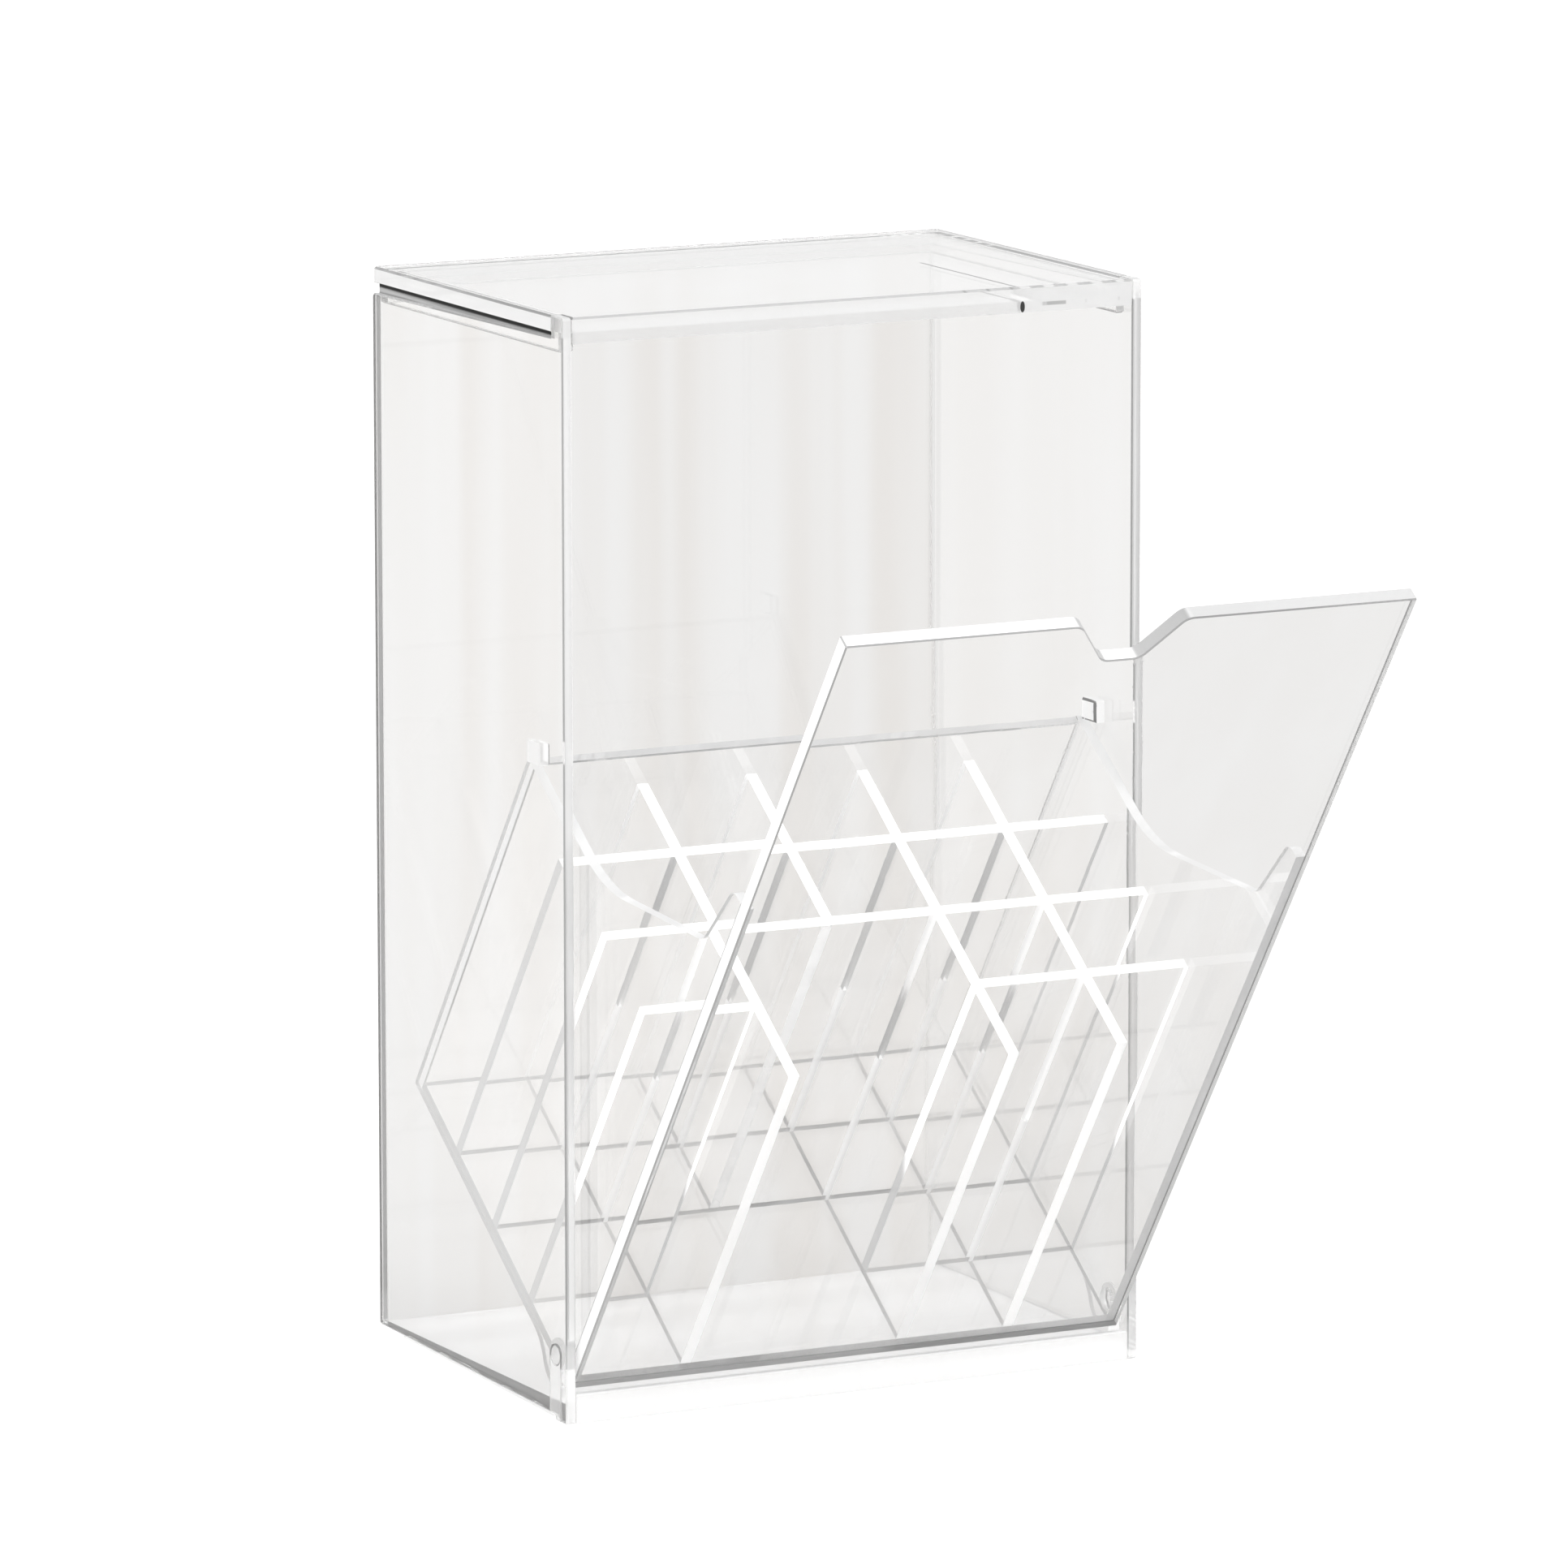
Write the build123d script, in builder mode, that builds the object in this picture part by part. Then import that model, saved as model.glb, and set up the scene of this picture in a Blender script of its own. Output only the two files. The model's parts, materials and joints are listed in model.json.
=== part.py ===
from build123d import *

import os
from math import cos, radians, sin, sqrt, tan

# Clear brush holder: a tall case whose whole front tilts out as a divided drawer.
#
# Millimetres, +Z up, front towards -Y. The origin is the middle of the case's footprint, on the
# surface it stands on. The drawer is modelled tilted out against its stops.

# Case: three sheet walls between a moulded base and a moulded cap
case_width = 142.6
case_depth = 97.0
case_height = 245.0
wall = 2.4
polish = 0.3            # flame-polished arris of a sheet's edge
post_depth = 5.5        # front end of each side wall, which runs the full height
wall_corner = 0.8
wall_top_back = 239.0   # the side walls rise a little towards the front, above and below
wall_top_front = 240.2
wall_foot_back = 3.2
wall_foot_front = 1.2
slip = 0.1              # fit of a plug between the walls

# Cap
cap_plate = 3.5         # height of the plate's edge
cap_ease = 0.5          # eased arris of the plate
cap_corner = 1.2        # rounding of the plate's back corners, seen from above
cap_seam_inset = 1.2    # depth of the seam between the plate and the walls
cap_rim = 2.0           # thickness of the rim that plugs into the walls
cap_rim_height = 4.5    # how far the rim reaches down from the plate
cap_rim_ease = 0.4
cap_front_height = 5.8  # face of the cap over the open front

# Base
floor_top = 4.2         # the floor between the walls, which locates them
foot_inset_side = 0.2
foot_inset_back = 6.0
foot_corner = 8.0       # rounding of the foot's back corners, seen from above
seam_height = 0.6       # recessed seam between the foot and the side walls
seam_inset = 1.6
rail_height = 6.6

# Drawer
open_angle = 35.5       # tilt at the stops
panel_width = 136.4
panel_height = 227.0
panel_thickness = 3.6    # a heavier sheet than the walls
drawer_depth = 94.4      # shut, its back stands 0.2 off the case's back wall
side_height = 102.5
side_top_height = 148.0  # where the sides run up behind the panel
divider = 2.6            # sheet of the divider grid
divider_height = 91.2    # above the drawer's floor
columns = 5
rows = 4
lap_slack = 0.1

# Sweep from the panel down to the level top of the sides: each corner's depth and height in the
# drawer, and its rounding
sweep = [((8.0, side_top_height), 3.0), ((12.0, 128.5), 5.0), ((53.5, side_height), 40.0)]

# Thumb notch in the middle of the panel's top edge
notch_width = 25.0
notch_base = 9.0
notch_depth = 10.8
notch_rounding = 3.5

# Pivots
pivot_behind_front = 6.5
pivot_height = 14.4
heel = 4.4              # from the drawer's underside up to the pivot
ear_radius = 8.8        # rounded corner of the sides, which turns just over the floor
ear_setback = 1.0       # from the panel's back to the flat front of the ear
ear_blend = 12.0        # where the ear runs out into the side's lower edge
stud_radius = 2.5
stud_reach = 1.9
stud_ease = 0.4
stud_flange_radius = 3.8
stud_flange = 0.5       # keeps the drawer off the case walls
groove_clearance = 0.05
groove_depth = 1.4

# Stops on the case walls
stop_length = 6.5
stop_height = 5.0
stop_reach = 2.5
stop_ease = 0.5
stop_gap = 0.1
stop_lap = 1.0          # how far the stop's rear edge stands in front of the side's rear corner

# Worked out from the above
half_width = case_width / 2
half_depth = case_depth / 2
inner_half_width = half_width - wall
post_back = -half_depth + post_depth
pivot_y = -half_depth + pivot_behind_front
rise, run = sin(radians(open_angle)), cos(radians(open_angle))
inner_width = panel_width - 2 * wall
inner_depth = drawer_depth - panel_thickness - wall
cell_width = (inner_width - (columns - 1) * divider) / columns
cell_depth = (inner_depth - (rows - 1) * divider) / rows
divider_top = wall + divider_height

# The drawer's own planes, tilted with it. Their origin is the middle of the panel's lower front edge.
drawer_origin = Vector(
    0,
    pivot_y - pivot_behind_front * run + heel * rise,
    pivot_height - pivot_behind_front * rise - heel * run,
)
side_view = Plane(drawer_origin, x_dir=(0, run, rise), z_dir=(1, 0, 0))      # depth, height
front_view = Plane(drawer_origin, x_dir=(1, 0, 0), z_dir=(0, -run, -rise))   # width, height
floor_view = Plane(drawer_origin, x_dir=(1, 0, 0), z_dir=(0, -rise, run))    # width, depth


def save(piece, name):
    """Label a finished piece and write it as its own file."""
    piece.part.label = name
    export_step(piece.part, f"parts/{name}.step")


def side_name(side):
    return "left" if side < 0 else "right"


def column_place(number):
    """Middle of a column divider, across the drawer."""
    return -inner_width / 2 + number * (cell_width + divider) - divider / 2


def row_place(number):
    """Middle of a row divider, back from the panel's face."""
    return panel_thickness + number * (cell_depth + divider) - divider / 2


os.makedirs("parts", exist_ok=True)

# ---------------------------------------------------------------- case walls
groove_radius = stud_radius + groove_clearance
for side in (-1, 1):
    with BuildPart() as case_wall:
        with BuildSketch(Plane.YZ.offset(side * (half_width - wall / 2) - wall / 2)) as wall_outline:
            with BuildLine():
                Polyline(
                    (post_back, wall_foot_front),
                    (half_depth, wall_foot_back),
                    (half_depth, wall_top_back),
                    (post_back, wall_top_front),
                    close=True,
                )
            make_face()
            with Locations((-half_depth, 0)):
                Rectangle(post_depth, case_height, align=(Align.MIN, Align.MIN))
            outer_corners = wall_outline.vertices().group_by(Axis.X)
            fillet(outer_corners[0] + outer_corners[-1], wall_corner)
        extrude(amount=wall)
        chamfer(case_wall.faces().filter_by(Axis.X).edges(), polish)
        # Round-topped groove, open at the bottom, in which the drawer's stud turns
        with BuildSketch(Plane.YZ.offset(side * (inner_half_width + groove_depth))):
            with Locations((pivot_y, pivot_height)):
                Circle(groove_radius)
                Rectangle(2 * groove_radius, pivot_height, align=(Align.CENTER, Align.MAX))
        extrude(amount=-side * groove_depth, mode=Mode.SUBTRACT)
    save(case_wall, f"case_{side_name(side)}_wall")

with BuildPart() as back_wall:
    with BuildSketch(Plane.XY.offset(wall_foot_back)):
        with Locations((0, half_depth - wall / 2)):
            Rectangle(2 * inner_half_width, wall)
    extrude(amount=wall_top_back - wall_foot_back)
    chamfer(back_wall.edges(), polish)
save(back_wall, "case_back_wall")

# ---------------------------------------------------------------- cap
plate_underside = case_height - cap_plate
plate_front = post_back + slip
front_half_width = inner_half_width - slip
hollow_half_width = front_half_width - cap_rim
hollow_front = -half_depth + panel_thickness + slip
hollow_back = half_depth - wall - slip - cap_rim
with BuildPart() as cap:
    # Rim that plugs in behind the walls on three sides
    with BuildSketch(Plane.XY.offset(plate_underside - cap_rim_height)):
        with Locations((0, hollow_front)):
            Rectangle(
                2 * front_half_width,
                hollow_back + cap_rim - hollow_front,
                align=(Align.CENTER, Align.MIN),
            )
    extrude(amount=cap_rim_height)
    # Shoulder that carries the plate on the walls' sloping tops, set in to make the seam
    with BuildSketch(Plane.YZ):
        with BuildLine():
            Polyline(
                (plate_front, wall_top_front),
                (half_depth, wall_top_back),
                (half_depth, plate_underside),
                (plate_front, plate_underside),
                close=True,
            )
        make_face()
        with Locations((half_depth, 0)):
            Rectangle(2 * cap_seam_inset, 2 * case_height, mode=Mode.SUBTRACT)
    extrude(amount=half_width - cap_seam_inset, both=True)
    # Hollow between the three sides of the rim
    with BuildSketch(Plane.XY.offset(plate_underside)):
        with Locations((0, hollow_front)):
            Rectangle(
                2 * hollow_half_width,
                hollow_back - hollow_front,
                align=(Align.CENTER, Align.MIN),
            )
    extrude(amount=-cap_rim_height, mode=Mode.SUBTRACT)
    chamfer(cap.faces().sort_by(Axis.Z)[0].edges(), cap_rim_ease)
    # Plate, as wide as the case behind the walls' front ends and let in between them
    with BuildSketch(Plane.XY.offset(plate_underside)):
        with Locations((0, plate_front)):
            Rectangle(case_width, half_depth - plate_front, align=(Align.CENTER, Align.MIN))
        with Locations((0, -half_depth)):
            Rectangle(2 * front_half_width, half_depth, align=(Align.CENTER, Align.MIN))
    extrude(amount=cap_plate)
    fillet(cap.edges().filter_by(Axis.Z).group_by(Axis.Y)[-1], cap_corner)
    chamfer(cap.faces().sort_by(Axis.Z)[-1].edges(), cap_ease)
    # Face over the open front, from the plate down to just under the walls' shoulders
    with BuildSketch(Plane.XY.offset(case_height - cap_front_height)):
        with Locations((0, -half_depth)):
            Rectangle(2 * front_half_width, wall, align=(Align.CENTER, Align.MIN))
    extrude(amount=cap_front_height - cap_plate)
save(cap, "top_cap")

# ---------------------------------------------------------------- base
foot_front = -half_depth + wall
foot_back = half_depth - foot_inset_back
with BuildPart() as base:
    # Foot, which shows under the side walls and rises towards the back as they do
    with BuildSketch(Plane.YZ):
        with BuildLine():
            Polyline(
                (plate_front, 0),
                (foot_back, 0),
                (foot_back, wall_foot_back - seam_height),
                (plate_front, wall_foot_front - seam_height),
                close=True,
            )
        make_face()
    extrude(amount=half_width - foot_inset_side, both=True)
    fillet(base.edges().filter_by(Axis.Z).group_by(Axis.Y)[-1], foot_corner)
    # Shoulder under the walls, set in to make the seam
    with BuildSketch(Plane.YZ):
        with BuildLine():
            Polyline(
                (plate_front, 0),
                (half_depth, 0),
                (half_depth, wall_foot_back),
                (plate_front, wall_foot_front),
                close=True,
            )
        make_face()
        with Locations((half_depth, 0)):
            Rectangle(2 * (foot_inset_back + foot_corner), case_height, mode=Mode.SUBTRACT)
    extrude(amount=half_width - seam_inset, both=True)
    # Floor between the walls
    with BuildSketch(Plane.XY.offset(wall_foot_back - seam_height)):
        with Locations((0, foot_front)):
            Rectangle(
                2 * front_half_width,
                case_depth - 2 * wall - slip,
                align=(Align.CENTER, Align.MIN),
            )
    extrude(amount=floor_top - wall_foot_back + seam_height)
    with BuildSketch(Plane.XY):
        with Locations((0, foot_front)):
            Rectangle(2 * front_half_width, half_depth, align=(Align.CENTER, Align.MIN))
    extrude(amount=floor_top)
    # Bearings that fill the walls' grooves from below and close them round the studs
    for side in (-1, 1):
        with BuildSketch(Plane.YZ.offset(side * (inner_half_width + groove_depth - slip))):
            with Locations((pivot_y, seam_height)):
                Rectangle(
                    2 * (groove_radius - groove_clearance),
                    pivot_height - seam_height,
                    align=(Align.CENTER, Align.MIN),
                )
            with Locations((pivot_y, pivot_height)):
                Circle(groove_radius, mode=Mode.SUBTRACT)
        extrude(amount=-side * (groove_depth - slip))
save(base, "base")

with BuildPart() as rail:
    with BuildSketch(Plane.XY):
        with Locations((0, -half_depth)):
            Rectangle(2 * front_half_width, wall, align=(Align.CENTER, Align.MIN))
    extrude(amount=rail_height)
    chamfer(rail.faces().sort_by(Axis.Z)[-1].edges(), polish)
save(rail, "front_rail")

# ---------------------------------------------------------------- stops
# The top edge of the drawer's sides comes up under the stop's rear lower edge.
side_corner_y = drawer_origin.Y + drawer_depth * run - side_height * rise
side_corner_z = drawer_origin.Z + drawer_depth * rise + side_height * run
stop_rear = side_corner_y - stop_lap
stop_bottom = side_corner_z - stop_lap * tan(radians(open_angle)) + stop_gap
for side in (-1, 1):
    with BuildPart() as stop:
        with BuildSketch(Plane.YZ.offset(side * inner_half_width)):
            with Locations((stop_rear, stop_bottom)):
                Rectangle(stop_length, stop_height, align=(Align.MAX, Align.MIN))
        extrude(amount=-side * stop_reach)
        tip = stop.faces().sort_by(Axis.X)[-1 if side < 0 else 0]
        chamfer(tip.edges(), stop_ease)
    save(stop, f"{side_name(side)}_stop")

# ---------------------------------------------------------------- drawer
with BuildPart() as panel:
    with BuildSketch(front_view) as panel_face:
        Rectangle(panel_width, panel_height, align=(Align.CENTER, Align.MIN))
        with BuildLine():
            Polyline(
                (-notch_width / 2, panel_height),
                (-notch_base / 2, panel_height - notch_depth),
                (notch_base / 2, panel_height - notch_depth),
                (notch_width / 2, panel_height),
                close=True,
            )
        make_face(mode=Mode.SUBTRACT)
        notch_corners = panel_face.vertices().filter_by_position(Axis.X, -notch_width, notch_width)
        fillet(notch_corners, notch_rounding)
    extrude(amount=-panel_thickness)
    chamfer(panel.edges().filter_by(GeomType.LINE), polish)
save(panel, "drawer_front")

# Sides: they run up behind the panel in a sweep that clears the stop, and end below in an
# ear that is round about the pivot.
ear_corner = (pivot_behind_front + sqrt(ear_radius**2 - heel**2), 0)
for side in (-1, 1):
    with BuildPart() as drawer_side:
        with BuildSketch(side_view.offset(side * (panel_width / 2 - wall / 2) - wall / 2)) as outline:
            with BuildLine():
                Polyline(
                    (panel_thickness, 0),
                    (panel_thickness, side_top_height),
                    *[corner for corner, rounding in sweep],
                    (drawer_depth, side_height),
                    (drawer_depth, 0),
                    close=True,
                )
            make_face()
            for corner, rounding in sweep:
                fillet(outline.vertices().sort_by_distance(corner)[0], rounding)
            with Locations((pivot_behind_front, heel)):
                Circle(ear_radius)
            with Locations((panel_thickness, 0)):
                Rectangle(ear_radius, side_height, align=(Align.MAX, Align.MIN), mode=Mode.SUBTRACT)
            with Locations((panel_thickness + ear_setback, 0)):
                Rectangle(ear_radius, ear_radius, align=(Align.MAX, Align.MAX), mode=Mode.SUBTRACT)
            fillet(outline.vertices().sort_by_distance(ear_corner)[0], ear_blend)
            with Locations((pivot_behind_front, heel)):
                Circle(stud_radius, mode=Mode.SUBTRACT)
        extrude(amount=wall)
    save(drawer_side, f"drawer_{side_name(side)}_side")

with BuildPart() as drawer_back:
    with BuildSketch(front_view.offset(-drawer_depth)):
        Rectangle(inner_width, side_height, align=(Align.CENTER, Align.MIN))
    extrude(amount=wall)
    chamfer(drawer_back.edges(), polish)
save(drawer_back, "drawer_back")

with BuildPart() as drawer_floor:
    with BuildSketch(floor_view):
        with Locations((0, panel_thickness)):
            Rectangle(inner_width, inner_depth, align=(Align.CENTER, Align.MIN))
    extrude(amount=wall)
save(drawer_floor, "drawer_floor")

for side in (-1, 1):
    with BuildPart() as stud:
        with BuildSketch(side_view.offset(side * inner_width / 2)):
            with Locations((pivot_behind_front, heel)):
                Circle(stud_radius)
        extrude(amount=side * (wall + stud_reach))
        chamfer(stud.edges().sort_by(Axis.X)[-1 if side > 0 else 0], stud_ease)
        with BuildSketch(side_view.offset(side * panel_width / 2)):
            with Locations((pivot_behind_front, heel)):
                Circle(stud_flange_radius)
        extrude(amount=side * stud_flange)
    save(stud, f"{side_name(side)}_pivot_stud")

# ---------------------------------------------------------------- divider grid
# Two columns are left open over the two front rows, as one wide cell. Rows are slotted from
# the top and columns from below, and they cross in half laps.
wide_from, wide_to, wide_rows = 1, 3, 2

row_pieces = {
    "row_divider_1_left": (1, 0, wide_from),
    "row_divider_1_right": (1, wide_to, columns),
    "row_divider_2": (2, 0, columns),
    "row_divider_3": (3, 0, columns),
}
for name, (row, first, last) in row_pieces.items():
    left = -inner_width / 2 if first == 0 else column_place(first) + divider / 2
    right = inner_width / 2 if last == columns else column_place(last) - divider / 2
    with BuildPart() as row_divider:
        with BuildSketch(front_view.offset(-row_place(row) - divider / 2)):
            with Locations((left, wall)):
                Rectangle(right - left, divider_height, align=(Align.MIN, Align.MIN))
            for column in range(first + 1, last):
                if column == 2 and row == wide_rows:
                    continue
                with Locations((column_place(column), divider_top)):
                    Rectangle(
                        divider + lap_slack,
                        divider_height / 2,
                        align=(Align.CENTER, Align.MAX),
                        mode=Mode.SUBTRACT,
                    )
        extrude(amount=divider)
    save(row_divider, name)

for column in range(1, columns):
    front = panel_thickness if column != 2 else row_place(wide_rows) + divider / 2
    with BuildPart() as column_divider:
        with BuildSketch(side_view.offset(column_place(column) - divider / 2)):
            with Locations((front, wall)):
                Rectangle(drawer_depth - wall - front, divider_height, align=(Align.MIN, Align.MIN))
            for row in range(1, rows):
                if row == 1 and column in (wide_from, wide_to):
                    continue
                if row_place(row) < front:
                    continue
                with Locations((row_place(row), wall)):
                    Rectangle(
                        divider + lap_slack,
                        divider_height / 2,
                        align=(Align.CENTER, Align.MIN),
                        mode=Mode.SUBTRACT,
                    )
        extrude(amount=divider)
    save(column_divider, f"column_divider_{column}")
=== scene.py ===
import json
from math import cos, radians, sin

import bpy
from mathutils import Matrix, Vector


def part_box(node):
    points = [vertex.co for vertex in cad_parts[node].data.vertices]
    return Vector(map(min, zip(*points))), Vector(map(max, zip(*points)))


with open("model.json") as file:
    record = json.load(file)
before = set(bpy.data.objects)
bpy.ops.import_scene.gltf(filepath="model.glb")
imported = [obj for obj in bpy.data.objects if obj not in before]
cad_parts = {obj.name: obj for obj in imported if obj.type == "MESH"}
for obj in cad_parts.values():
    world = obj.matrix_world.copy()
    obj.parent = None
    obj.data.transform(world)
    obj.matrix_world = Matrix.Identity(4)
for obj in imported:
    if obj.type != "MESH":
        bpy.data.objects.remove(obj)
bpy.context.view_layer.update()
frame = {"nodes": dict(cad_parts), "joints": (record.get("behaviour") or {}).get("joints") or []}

# ---------------------------------------------------------------- sizes, in metres
HAIR = 0.0001                      # tolerance round the place of an edge or a joint
PLATE_EDGE_HEIGHT = 0.0035
BASE_FLOOR_TOP = 0.0042
WELD_GROOVE = 0.0003               # chamfer of a sheet's edge, filled where it is welded

# The drawer stands open, so its sheets lean forward by the whole range of its hinge
hinge = next(joint for joint in frame["joints"] if joint["name"] == "drawer_tilt")
tilt = radians(-min(hinge["range_deg"]))
pivot_back = hinge["pos_m"][1]
wall_low, wall_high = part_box("case_left_wall")
back_low, back_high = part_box("case_back_wall")
cap_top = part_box("top_cap")[1][2]
wall_inside = -wall_high[0]        # inner faces of the side walls, from the middle
case_front = wall_low[1]
back_inside = back_low[1]
back_outside = back_high[1]
wall_tops = back_high[2]
plate_underside = cap_top - PLATE_EDGE_HEIGHT

ACROSS_CASE = (1, 0, 0)
ALONG_CASE = (0, 1, 0)
UPRIGHT = (0, 0, 1)
THROUGH_PANEL = (0, cos(tilt), sin(tilt))
THROUGH_FLOOR = (0, -sin(tilt), cos(tilt))
panel_corners = frame["nodes"]["drawer_front"].data.vertices
drawer_underside = min(corner.co.dot(Vector(THROUGH_FLOOR)) for corner in panel_corners)

# ---------------------------------------------------------------- shader maths
# How squarely a face looks along a direction: none of a mask at the first value, all at the second
SQUARE_ON = (0.8, 0.95)            # flat faces, without their chamfers
NEARLY_SQUARE = (0.5, 0.9)         # the same, with the rounded corners beside them
PAST_EDGES = (0.55, 0.93)          # a sheet's two faces, without its edges
ON_CHAMFERS = (1.15, 1.35)         # three directions added up


class Socket:
    """A shader value that Python's own operators can be used on."""

    def __init__(self, shader, link):
        self.shader = shader
        self.link = link

    def maths(self, operation, *others):
        return self.shader.node("ShaderNodeMath", {"operation": operation}, self, *others)

    def __add__(self, other):
        return self.maths("ADD", other)

    __radd__ = __add__

    def __sub__(self, other):
        return self.maths("SUBTRACT", other)

    def __rsub__(self, other):
        return self * -1 + other

    def __mul__(self, other):
        return self.maths("MULTIPLY", other)

    __rmul__ = __mul__

    def __abs__(self):
        return self.maths("ABSOLUTE")

    def smooth(self, low, high):
        """0 below low, 1 above high, and eased in between."""
        curve = {"interpolation_type": "SMOOTHSTEP"}
        return self.shader.node("ShaderNodeMapRange", curve, self, low, high, 0.0, 1.0)

    def past(self, limit):
        """0 up to the limit, and 1 from a hair past it."""
        return self.smooth(limit, limit + HAIR)


class Shader:
    """The node tree of one material, or of the world."""

    def __init__(self, owner):
        owner.use_nodes = True
        self.tree = owner.node_tree
        self.tree.nodes.clear()

    def node(self, kind, settings=None, *values, output=0, **named):
        """A node with its settings, then its sockets' values or links. Gives one of its outputs."""
        made = self.tree.nodes.new(kind)
        for name, value in (settings or {}).items():
            setattr(made, name, value)
        sockets = list(enumerate(values)) + [(k.replace("_", " "), v) for k, v in named.items()]
        for key, value in sockets:
            if isinstance(value, Socket):
                self.tree.links.new(value.link, made.inputs[key])
            elif value is not None:
                made.inputs[key].default_value = value
        return Socket(self, made.outputs[output]) if made.outputs else None

    def place(self):
        return self.node("ShaderNodeTexCoord", output="Object")

    def coordinate(self, axis):
        """Distance along X, Y or Z, in metres."""
        return self.node("ShaderNodeSeparateXYZ", {}, self.place(), output=axis)

    def reach(self, vector, direction):
        """How far a vector reaches along a direction."""
        dot = {"operation": "DOT_PRODUCT"}
        return self.node("ShaderNodeVectorMath", dot, vector, direction, output="Value")

    def facing(self, direction):
        """1 on faces that look along the direction, either way, and 0 on faces square to them."""
        normal = self.node("ShaderNodeTexCoord", output="Normal")
        return abs(self.reach(normal, direction))

    def faces(self, direction):
        """1 on flat faces that look along the direction, and 0 on chamfers and on other faces."""
        return self.facing(direction).smooth(*SQUARE_ON)

    def edges(self, through):
        """1 on the edges of a sheet, and 0 on its two faces."""
        return 1 - self.facing(through).smooth(*PAST_EDGES)

    def chamfers(self, directions):
        """1 on the chamfers between faces that look along the three directions, 0 on the faces."""
        first, second, third = [self.facing(direction) for direction in directions]
        return (first + second + third).smooth(*ON_CHAMFERS)

    def noise(self, stretch, detail=2.0):
        """Noise from 0 to 1 with so many lumps a metre along x, y and z."""
        scaled = {"operation": "MULTIPLY"}
        place = self.node("ShaderNodeVectorMath", scaled, self.place(), stretch)
        return self.node("ShaderNodeTexNoise", {}, Vector=place, Scale=1.0, Detail=detail)

    def blend(self, share, first, second):
        """The first colour where share is 0, and the second where it is 1."""
        colours = {"data_type": "RGBA"}
        skipped = [None] * 5  # the node's sockets for numbers and vectors
        return self.node("ShaderNodeMix", colours, share, *skipped, first, second, output=2)

    def mix(self, share, first, second):
        """The first surface where share is 0, and the second where it is 1."""
        return self.node("ShaderNodeMixShader", {}, share, first, second)

    def finish(self, surface):
        self.node("ShaderNodeOutputMaterial", Surface=surface)


def grey(level, warmth=0.0):
    """A grey, which a little warmth turns towards cream."""
    return (level, level * (1 - warmth), level * (1 - 2 * warmth), 1.0)


# ---------------------------------------------------------------- surfaces
BLACK = grey(0.0)
WHITE = grey(1.0)
SHEET_REFLECTION_STREAKS = grey(0.985, 0.004)   # darker streaks of tone in a clear sheet: a painted reflection of streaky light
BACK_REFLECTION_STREAKS = grey(0.94, 0.02)      # the same in the back wall

# Lumps a metre along x, y and z
STREAKS = (70.0, 70.0, 2.5)        # long up the sheet
HAIRLINES = (900.0, 900.0, 25.0)
HAZE = (40.0, 40.0, 40.0)
SAW_MARKS = (900.0, 900.0, 900.0)
SIDE_STREAKS = (400.0, 12.0, 900.0)
FLECKS = (260.0, 1.0, 1.0)

HALVES = (0.35, 0.65)              # parts noise into two tones with a soft border
FEW = (0.62, 0.75)                 # leaves the few highest lumps
ACRYLIC_INDEX = 1.49
SHEET_RIPPLE = 0.008               # strength of the relief of a polished face
MOULDED_RIPPLE = 0.002
SCRATCH_DEPTH = 0.05               # beside the streaks, which are 1
SCRATCH_ROUGHNESS = 0.03
HAZE_ROUGHNESS = 0.012
SAWN_ROUGHNESS = 0.25
MARKS_ROUGHNESS = 0.3              # more of it on the marks
MARKS_SHADE = 0.97
EDGE_GLOW = 0.22                   # painted glow, standing in for light that a sheet leads to its edges


def polished_face(shader, alpha=1.0, reflection_streaks=SHEET_REFLECTION_STREAKS, ripple=SHEET_RIPPLE):
    """Clear acrylic with faint flow streaks, a breath of haze and hairline scratches, and painted
    reflection streaks in its tone.
    """
    streaks = shader.noise(STREAKS)
    scratches = shader.noise(HAIRLINES).smooth(*FEW)
    haze = shader.noise(HAZE, detail=3.0)
    relief = streaks + scratches * SCRATCH_DEPTH
    bump = shader.node("ShaderNodeBump", {}, Height=relief, Strength=ripple, Distance=0.001)
    return shader.node(
        "ShaderNodeBsdfPrincipled",
        # Painted reflection: the tone streaks between the tint given and white
        Base_Color=shader.blend(streaks.smooth(*HALVES), reflection_streaks, WHITE),
        Roughness=haze * HAZE_ROUGHNESS + scratches * SCRATCH_ROUGHNESS,
        IOR=ACRYLIC_INDEX,
        Transmission_Weight=1.0,
        Alpha=alpha,
        Normal=bump,
    )


def sawn_edge_and_painted_light(shader, level, glow=0.0):
    """A sawn edge that has been lightly polished, or a milky moulding, with fine marks in it.

    The level is how light it is; its grey and dark levels mostly paint shade. The glow is painted
    light that stands in for light the sheet leads to it.
    """
    marks = shader.noise(SAW_MARKS, detail=4.0)
    bump = shader.node("ShaderNodeBump", {}, Height=marks, Strength=0.15, Distance=0.0002)
    return shader.node(
        "ShaderNodeBsdfPrincipled",
        Base_Color=shader.blend(marks, grey(level * MARKS_SHADE), grey(level)),
        Roughness=SAWN_ROUGHNESS + marks * MARKS_ROUGHNESS,
        IOR=ACRYLIC_INDEX,
        # Painted glow: emission standing in for light that the sheet leads to the edge
        Emission_Color=WHITE,
        Emission_Strength=glow * level,
        Normal=bump,
    )


def new_finish(name):
    material = bpy.data.materials.new(name)
    return material, Shader(material)


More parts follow.
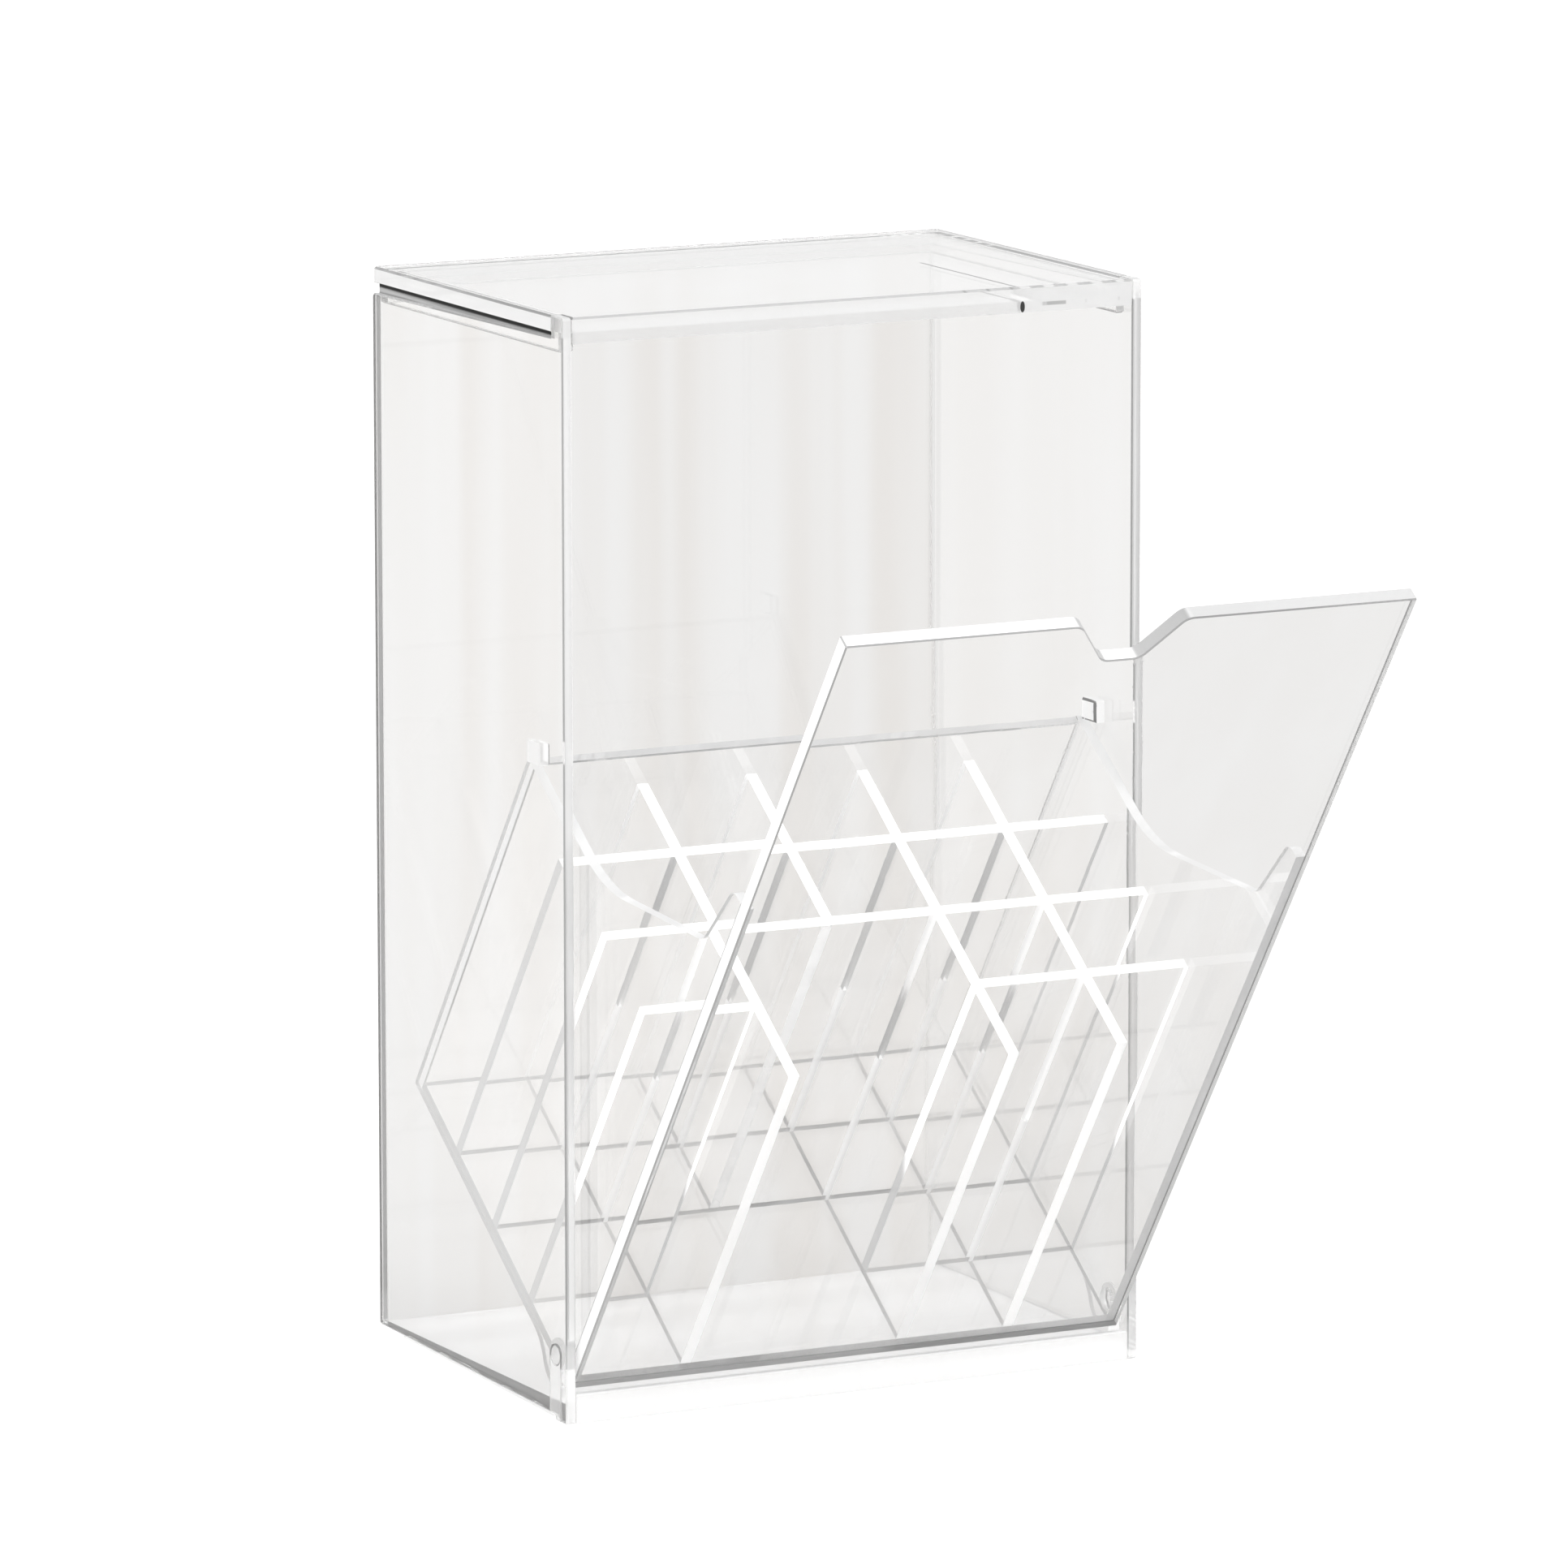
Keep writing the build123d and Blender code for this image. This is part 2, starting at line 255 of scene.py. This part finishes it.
# ---------------------------------------------------------------- sheets
DRAWER_FLOOR_SHEET = (0.0026, 0.0028)  # up from the drawer's underside: just past its floor
LOWER_SHADE = 0.7
REAR_EDGE_TURN = (0.9, 0.98)
REAR_SHADE = 0.25
SHADED_LEVEL = 0.5
END_SHARE = 0.9
CASE_FRONT_DEPTH = 0.005           # in which welded ends turn from white with a painted glow to painted grey shade
BRIGHT_END = {"level": 0.8, "glow": 0.85}


def lower_shade(shader):
    """The lower edges of the panel and the dividers."""
    height = shader.reach(shader.place(), THROUGH_FLOOR) - drawer_underside
    below = 1 - height.smooth(*DRAWER_FLOOR_SHEET)
    return below * shader.faces(THROUGH_FLOOR) * LOWER_SHADE


def rear_shade(shader):
    """The straight rear edges of the drawer's sides."""
    return shader.facing(THROUGH_PANEL).smooth(*REAR_EDGE_TURN) * REAR_SHADE


def wall_bond(shader):
    """The strip at the back of a side wall's inner face, where the back wall is welded on."""
    inner_face = 1 - abs(shader.coordinate("X")).past(wall_inside)
    return inner_face * shader.coordinate("Y").past(back_inside)


def back_bond(shader):
    """The back wall's two ends, with their chamfers."""
    return abs(shader.coordinate("X")).past(wall_inside - WELD_GROOVE)


def clear_sheet(
    name, through, share, level, glow, ends=None, bond=None, shade=None, reflection_streaks=SHEET_REFLECTION_STREAKS
):
    """Clear acrylic sheet, polished on its two faces, with whiter edges.

    The share, level and glow are those of its edges; the glow is painted light. The ends are those
    that face sideways against another sheet: white with a painted glow in front of the case, and
    inside it with the level and glow given, painted greyer as shade. The bond gives 1 where the
    sheet is welded to another and its surface is gone. The shade gives 1 on edges painted grey as
    shade.
    """
    material, shader = new_finish(name)
    alpha = 1 - bond(shader) if bond else 1.0
    face = polished_face(shader, alpha, reflection_streaks)
    sheet = shader.mix(shader.edges(through) * share, face, sawn_edge_and_painted_light(shader, level, glow))
    if ends:
        # Painted light: welded ends glow white in front of the case and turn greyer inside it as
        # painted shade
        in_case = shader.coordinate("Y").smooth(case_front, case_front + CASE_FRONT_DEPTH)
        end = shader.mix(in_case, sawn_edge_and_painted_light(shader, **BRIGHT_END), sawn_edge_and_painted_light(shader, **ends))
        sheet = shader.mix(shader.faces(ACROSS_CASE) * END_SHARE, sheet, end)
    if shade:
        sheet = shader.mix(shade(shader), sheet, sawn_edge_and_painted_light(shader, SHADED_LEVEL))
    shader.finish(sheet)
    return material


POST_SHARE = 0.5
LEFT_POST_SHARE = 0.25             # more of it on the left wall
LEFT_POST_HEIGHT = (0.04, 0.1)     # where painted shade turns it grey on its way up
OUTER_HALF = (0.0012, 0.0015)      # of the wall's thickness, from its inner face
REAR_PAINTED_SHADE = 0.9
GROOVE_PAINTED_SHADE = 0.8
GROOVE_HALF_WIDTH = 0.0026
GROOVE_TOP = 0.0171
GROOVE_SHADE_FROM = (0.0115, 0.012)


def case_side_sheet():
    """A side wall, clear with half-white edges that carry a painted glow.

    The rear edge is painted grey as shade outside and clear inside, and the groove for the stud is
    painted dark as shade at its top. The left wall's front edge is painted greyer above than below,
    as shade.
    """
    material, shader = new_finish("case_side_sheet")
    across = shader.coordinate("X")
    along = shader.coordinate("Y")
    height = shader.coordinate("Z")
    sawn = shader.edges(ACROSS_CASE)
    rear = along.past(back_outside - HAIR)
    outer = abs(across).smooth(wall_inside + OUTER_HALF[0], wall_inside + OUTER_HALF[1])
    # Painted shade: the left wall's front edge turns greyer on its way up
    left_upper_shade = (1 - across.past(0)) * height.smooth(*LEFT_POST_HEIGHT)
    post = shader.mix(
        left_upper_shade,
        sawn_edge_and_painted_light(shader, level=0.95, glow=EDGE_GLOW),
        sawn_edge_and_painted_light(shader, level=0.75, glow=0.155),
    )
    share = sawn * (1 - rear) * (POST_SHARE + LEFT_POST_SHARE * left_upper_shade)
    sheet = shader.mix(share, polished_face(shader, 1 - wall_bond(shader)), post)
    # Painted shade: grey on the rear edge's outer half and at the top of the stud's groove
    groove = (1 - abs(along - pivot_back).past(GROOVE_HALF_WIDTH)) * (1 - height.past(GROOVE_TOP))
    groove_shade = groove * height.smooth(*GROOVE_SHADE_FROM) * sawn
    painted_shade_share = rear * outer * REAR_PAINTED_SHADE + groove_shade * GROOVE_PAINTED_SHADE
    shader.finish(shader.mix(painted_shade_share, sheet, sawn_edge_and_painted_light(shader, level=0.33)))
    return material


PANEL_EDGE_SHARE = 0.95
PANEL_TURN = (0.006, 0.014)        # right of the thumb notch's middle
PANEL_ARRIS_SHARE = 0.6


def panel_sheet():
    """The front panel: its arrises are painted dark as shade, and its edges turn from white with a
    painted glow to painted grey shade on the right.
    """
    material, shader = new_finish("panel_sheet")
    # Painted shade: the edges turn grey right of the thumb notch
    rightward_shade = shader.coordinate("X").smooth(*PANEL_TURN) * (1 - shader.facing(ACROSS_CASE))
    edge = shader.mix(
        rightward_shade,
        sawn_edge_and_painted_light(shader, level=0.97, glow=EDGE_GLOW),
        sawn_edge_and_painted_light(shader, level=0.75),
    )
    sheet = shader.mix(shader.edges(THROUGH_PANEL) * PANEL_EDGE_SHARE, polished_face(shader), edge)
    sheet = shader.mix(lower_shade(shader), sheet, sawn_edge_and_painted_light(shader, SHADED_LEVEL))
    # Painted shade on the arrises
    arris_shade = shader.chamfers((THROUGH_PANEL, ACROSS_CASE, THROUGH_FLOOR)) * PANEL_ARRIS_SHARE
    shader.finish(shader.mix(arris_shade, sheet, sawn_edge_and_painted_light(shader, level=0.2)))
    return material


RAIL_MILK = 0.5
RAIL_EDGE_MILK = 0.4               # more of it on the edges


def rail_sheet():
    """Milky clear strip with a whiter top edge; the milky tone carries a painted glow."""
    material, shader = new_finish("rail_sheet")
    milk = RAIL_MILK + shader.edges(ALONG_CASE) * RAIL_EDGE_MILK
    shader.finish(shader.mix(milk, polished_face(shader), sawn_edge_and_painted_light(shader, level=0.9, glow=0.2)))
    return material


# ---------------------------------------------------------------- mouldings
CASE_WAYS = (ACROSS_CASE, ALONG_CASE, UPRIGHT)

GLUE_LINE = 0.2409                 # height of the joint under the plate
GLUE_HALF_HEIGHT = (0.0003, 0.0005)
GLUE_FROM = (0.046, 0.047)         # across
GLUE_TO = (0.065, 0.066)
FLECK_SPLIT = (0.5, 0.56)
FLECK_SHARE = 0.4
DROP_PLACE = (0.0414, 0.2405)      # across and up
DROP_SIZE = (0.0006, 0.0013)       # half its width and half its height
DROP_RIM = (0.8, 1.0)


def glue_flecks(shader):
    """Dark flecks in the glue between the plate and the face under it, and a drop left of them."""
    across = shader.coordinate("X")
    height = shader.coordinate("Z")
    joint = 1 - abs(height - GLUE_LINE).smooth(*GLUE_HALF_HEIGHT)
    stretch = across.smooth(*GLUE_FROM) * (1 - across.smooth(*GLUE_TO))
    flecks = shader.noise(FLECKS, detail=1.0).smooth(*FLECK_SPLIT) * joint * stretch
    sideways = (across - DROP_PLACE[0]) * (1 / DROP_SIZE[0])
    upright = (height - DROP_PLACE[1]) * (1 / DROP_SIZE[1])
    drop = 1 - (sideways * sideways + upright * upright).smooth(*DROP_RIM)
    return flecks * FLECK_SHARE + drop


# Milky tones of the cap, each with a painted glow
PLATE_EDGE_MILK = 0.85
FASCIA_MILK = 0.15
FRONT_MILK = 0.35                  # more of it in front
RIGHT_MILK = 0.25                  # and more again at the right end
RIGHT_END = (0.03, 0.05)
# Painted shade on the arrises, with less of it on the rim below the walls' tops
LINE_SHARE = 0.5
RIM_LINE_LOSS = 0.25
RIM_FADE = (0.002, 0.001)          # under the walls' tops
SHADOW_DEPTH = (0.0014, 0.0009)    # under the plate


def seam_shade(shader, height):
    """Painted shade in the seam: streaked grey that turns black right under the plate."""
    shadow = height.smooth(*[plate_underside - depth for depth in SHADOW_DEPTH])
    streaks = shader.noise(SIDE_STREAKS, detail=3.0).smooth(*HALVES)
    shade = shader.blend(shadow, shader.blend(streaks, grey(0.25), grey(0.6)), grey(0.01))
    return shader.node(
        "ShaderNodeBsdfPrincipled",
        Base_Color=shade,
        Roughness=0.5,
        Specular_IOR_Level=0.1,
    )


def cap_moulding():
    """Clear, with arrises painted grey as shade and milky edges with a painted glow. From outside,
    the seam over each side wall is painted dark as shade.
    """
    material, shader = new_finish("cap_moulding")
    height = shader.coordinate("Z")
    in_front = 1 - shader.coordinate("Y").past(0)
    sideways = shader.faces(ACROSS_CASE)
    # The plate's edge is milkier than the rest, and most so over the side walls; the milky tone
    # carries a painted glow
    plate_edge = height.past(plate_underside - HAIR) * sideways * PLATE_EDGE_MILK
    right_end = shader.coordinate("X").smooth(*RIGHT_END)
    fascia_milk = FASCIA_MILK + in_front * (FRONT_MILK + RIGHT_MILK * right_end)
    fascia = shader.faces(ALONG_CASE) * fascia_milk
    body = polished_face(shader, ripple=MOULDED_RIPPLE)
    body = shader.mix(plate_edge, body, sawn_edge_and_painted_light(shader, level=0.85, glow=0.1))
    body = shader.mix(fascia, body, sawn_edge_and_painted_light(shader, level=0.8, glow=0.1))
    rim = 1 - height.smooth(*[wall_tops - depth for depth in RIM_FADE])
    shade_lines = shader.chamfers(CASE_WAYS) * (LINE_SHARE - RIM_LINE_LOSS * rim)
    body = shader.mix(shade_lines, body, sawn_edge_and_painted_light(shader, level=0.66))
    body = shader.mix(glue_flecks(shader) * in_front, body, sawn_edge_and_painted_light(shader, level=0.02))
    # Painted shade in the seam over each side wall, seen from outside
    over_wall = abs(shader.coordinate("X")).past(wall_inside)
    in_seam = height.past(wall_tops - HAIR) * (1 - height.past(plate_underside)) * over_wall
    outside = 1 - shader.node("ShaderNodeNewGeometry", output="Backfacing")
    seam = in_seam * outside * shader.facing(ACROSS_CASE).smooth(*NEARLY_SQUARE)
    shader.finish(shader.mix(seam, body, seam_shade(shader, height)))
    return material


BASE_MILK = 0.5
SLAB_ENDS = (0.0695, 0.0705)       # from the floor between the walls to the foot


def base_moulding():
    """Milky clear, with a painted glow. The edge of the floor, which shows through the side walls,
    is painted grey as shade.
    """
    material, shader = new_finish("base_moulding")
    clear = polished_face(shader, ripple=MOULDED_RIPPLE)
    milky = shader.mix(BASE_MILK, clear, sawn_edge_and_painted_light(shader, level=0.92, glow=0.45))
    # Painted shade: the floor's edge inside the side walls
    edge = shader.facing(ACROSS_CASE).smooth(*NEARLY_SQUARE)
    edge = edge * (1 - abs(shader.coordinate("X")).smooth(*SLAB_ENDS))
    edge = edge * (1 - shader.coordinate("Z").past(BASE_FLOOR_TOP))
    shade = shader.blend(shader.noise(SIDE_STREAKS, detail=3.0), grey(0.32), grey(0.5))
    floor_edge_shade = shader.node("ShaderNodeBsdfPrincipled", Base_Color=shade, Roughness=0.5)
    shader.finish(shader.mix(edge, milky, floor_edge_shade))
    return material


def small_moulding(name, milk, shade_lines, share):
    """A small clear piece, a little milky, with a painted glow. The shade lines give 1 where it is
    painted dark as shade, by the share given.
    """
    material, shader = new_finish(name)
    body = shader.mix(milk, polished_face(shader), sawn_edge_and_painted_light(shader, level=0.85, glow=0.5))
    shader.finish(shader.mix(shade_lines(shader) * share, body, sawn_edge_and_painted_light(shader, level=0.1)))
    return material


def block_lines(shader):
    """The chamfers of a block."""
    return shader.chamfers(CASE_WAYS)


RING_FROM = (0.3, 0.5)             # from a stud's side
RING_TO = (0.85, 0.95)             # to its flat end


def stud_ring(shader):
    """The ring where the end of a stud is eased."""
    across = shader.facing(ACROSS_CASE)
    return across.smooth(*RING_FROM) * (1 - across.smooth(*RING_TO))


# ---------------------------------------------------------------- each piece's finish
case_sides = case_side_sheet()
stops = small_moulding("stop_moulding", milk=0.6, shade_lines=block_lines, share=0.95)
studs = small_moulding("stud_moulding", milk=0.3, shade_lines=stud_ring, share=0.8)
drawer_sides = clear_sheet(
    "drawer_side_sheet",
    through=ACROSS_CASE,
    share=0.9,
    level=0.75,
    glow=0.35,
    shade=rear_shade,
)
row_dividers = clear_sheet(
    "row_divider_sheet",
    through=THROUGH_PANEL,
    share=0.97,
    level=0.97,
    glow=0.4,
    ends={"level": 0.72, "glow": 0.31},
    shade=lower_shade,
)
column_dividers = clear_sheet(
    "column_divider_sheet",
    through=ACROSS_CASE,
    share=0.97,
    level=0.97,
    glow=0.55,
    shade=lower_shade,
)
finishes = {
    "case_left_wall": case_sides,
    "case_right_wall": case_sides,
    "case_back_wall": clear_sheet(
        "case_back_sheet",
        through=ALONG_CASE,
        share=0.5,
        level=0.9,
        glow=EDGE_GLOW,
        bond=back_bond,
        reflection_streaks=BACK_REFLECTION_STREAKS,
    ),
    "front_rail": rail_sheet(),
    "top_cap": cap_moulding(),
    "base": base_moulding(),
    "left_stop": stops,
    "right_stop": stops,
    "drawer_front": panel_sheet(),
    "drawer_left_side": drawer_sides,
    "drawer_right_side": drawer_sides,
    "drawer_back": clear_sheet(
        "drawer_back_sheet",
        through=THROUGH_PANEL,
        share=0.85,
        level=0.7,
        glow=0.2,
        ends={"level": 0.8, "glow": 0.42},
    ),
    "drawer_floor": clear_sheet(
        "drawer_floor_sheet",
        through=THROUGH_FLOOR,
        share=0.8,
        level=0.9,
        glow=EDGE_GLOW,
    ),
    "left_pivot_stud": studs,
    "right_pivot_stud": studs,
    "row_divider_1_left": row_dividers,
    "row_divider_1_right": row_dividers,
    "row_divider_2": row_dividers,
    "row_divider_3": row_dividers,
    "column_divider_1": column_dividers,
    "column_divider_2": column_dividers,
    "column_divider_3": column_dividers,
    "column_divider_4": column_dividers,
}
for name, node in frame["nodes"].items():
    node.data.materials.clear()
    node.data.materials.append(finishes[name])

# ---------------------------------------------------------------- floor and light
FLOOR_REACH = 6.0
FLOOR_DROP = 0.0002
corners = [(-FLOOR_REACH, -FLOOR_REACH), (FLOOR_REACH, -FLOOR_REACH)]
corners += [(FLOOR_REACH, FLOOR_REACH), (-FLOOR_REACH, FLOOR_REACH)]
floor_mesh = bpy.data.meshes.new("floor")
floor_mesh.from_pydata([(x, y, 0) for x, y in corners], [], [(0, 1, 2, 3)])
floor = bpy.data.objects.new("floor", floor_mesh)
bpy.context.scene.collection.objects.link(floor)
floor.location.z = -FLOOR_DROP

# Pale paper, its even light painted as a glow. It glows a little dimmer where it shows through or
# in the clear sheets, and a painted pool of light brightens it again behind the case on its left.
PAPER_TINT = (1.0, 0.992, 0.98, 1.0)
BARE_GLOW = 0.9
DIM_GLOW = 0.57
LEFT_BEHIND_GLOW = 0.25
LEFT_OF_CASE = (-0.12, -0.075)
BEHIND_CASE = (0.0, 0.08)
paper = bpy.data.materials.new("paper")
shader = Shader(paper)
seen_bare = shader.node("ShaderNodeLightPath", output="Is Camera Ray")
leftward = 1 - shader.coordinate("X").smooth(*LEFT_OF_CASE)
dim = DIM_GLOW + leftward * shader.coordinate("Y").smooth(*BEHIND_CASE) * LEFT_BEHIND_GLOW
glow = dim + (BARE_GLOW - dim) * seen_bare
surface = shader.node(
    "ShaderNodeBsdfPrincipled",
    Base_Color=grey(0.25),
    Roughness=0.9,
    Emission_Color=shader.blend(glow, BLACK, PAPER_TINT),
    Emission_Strength=1.0,
)
shader.finish(surface)
floor_mesh.materials.append(paper)

# Soft boxes all round: the front is brightest, and a low band glows behind
BRIGHTEST = 1.5
FRONT_GAIN = 0.45
FRONT = (-0.1, 0.6)
BEHIND_LOSS = 0.05
BEHIND = (0.0, 0.5)
HIGH_BEHIND_LOSS = 0.4
HIGH = (0.25, 0.5)
world = bpy.data.worlds.new("studio")
bpy.context.scene.world = world
shader = Shader(world)
direction = shader.node("ShaderNodeTexCoord", output="Generated")
backward = shader.node("ShaderNodeSeparateXYZ", {}, direction, output="Y")
up = shader.node("ShaderNodeSeparateXYZ", {}, direction, output="Z")
gain = (backward * -1).smooth(*FRONT) * FRONT_GAIN
loss = backward.smooth(*BEHIND) * (BEHIND_LOSS + HIGH_BEHIND_LOSS * up.smooth(*HIGH))
shade = shader.blend((1.0 + gain - loss) * (1 / BRIGHTEST), BLACK, WHITE)
backdrop = shader.node("ShaderNodeBackground", Color=shade, Strength=BRIGHTEST)
shader.node("ShaderNodeOutputWorld", Surface=backdrop)

# ---------------------------------------------------------------- camera
IMAGE = 1932                       # the photograph's width and height in pixels
FOCAL_PIXELS = 14091
CAMERA_DISTANCE = 2.5844
AIM_ACROSS = 0.00626
AIM_UP = 0.12741
azimuth = radians(26.93)
pitch = radians(10.152)
roll = radians(-0.05)

level = Vector((sin(azimuth), cos(azimuth), 0))
forward = level * cos(pitch) - Vector(UPRIGHT) * sin(pitch)
right = Vector((cos(azimuth), -sin(azimuth), 0))
upward = right.cross(forward)
camera_data = bpy.data.cameras.new("camera")
camera = bpy.data.objects.new("camera", camera_data)
bpy.context.scene.collection.objects.link(camera)
camera_data.lens = FOCAL_PIXELS / IMAGE * camera_data.sensor_width
spot = right * AIM_ACROSS + upward * AIM_UP - forward * CAMERA_DISTANCE
turn = Matrix((right, upward, -forward)).transposed().to_4x4()
camera.matrix_world = Matrix.Translation(spot) @ turn @ Matrix.Rotation(roll, 4, "Z")
bpy.context.scene.camera = camera

bpy.context.scene.view_settings.view_transform = "Standard"
cycles = bpy.context.scene.cycles
cycles.use_denoising = True
cycles.max_bounces = 24
cycles.transmission_bounces = 24
cycles.glossy_bounces = 12
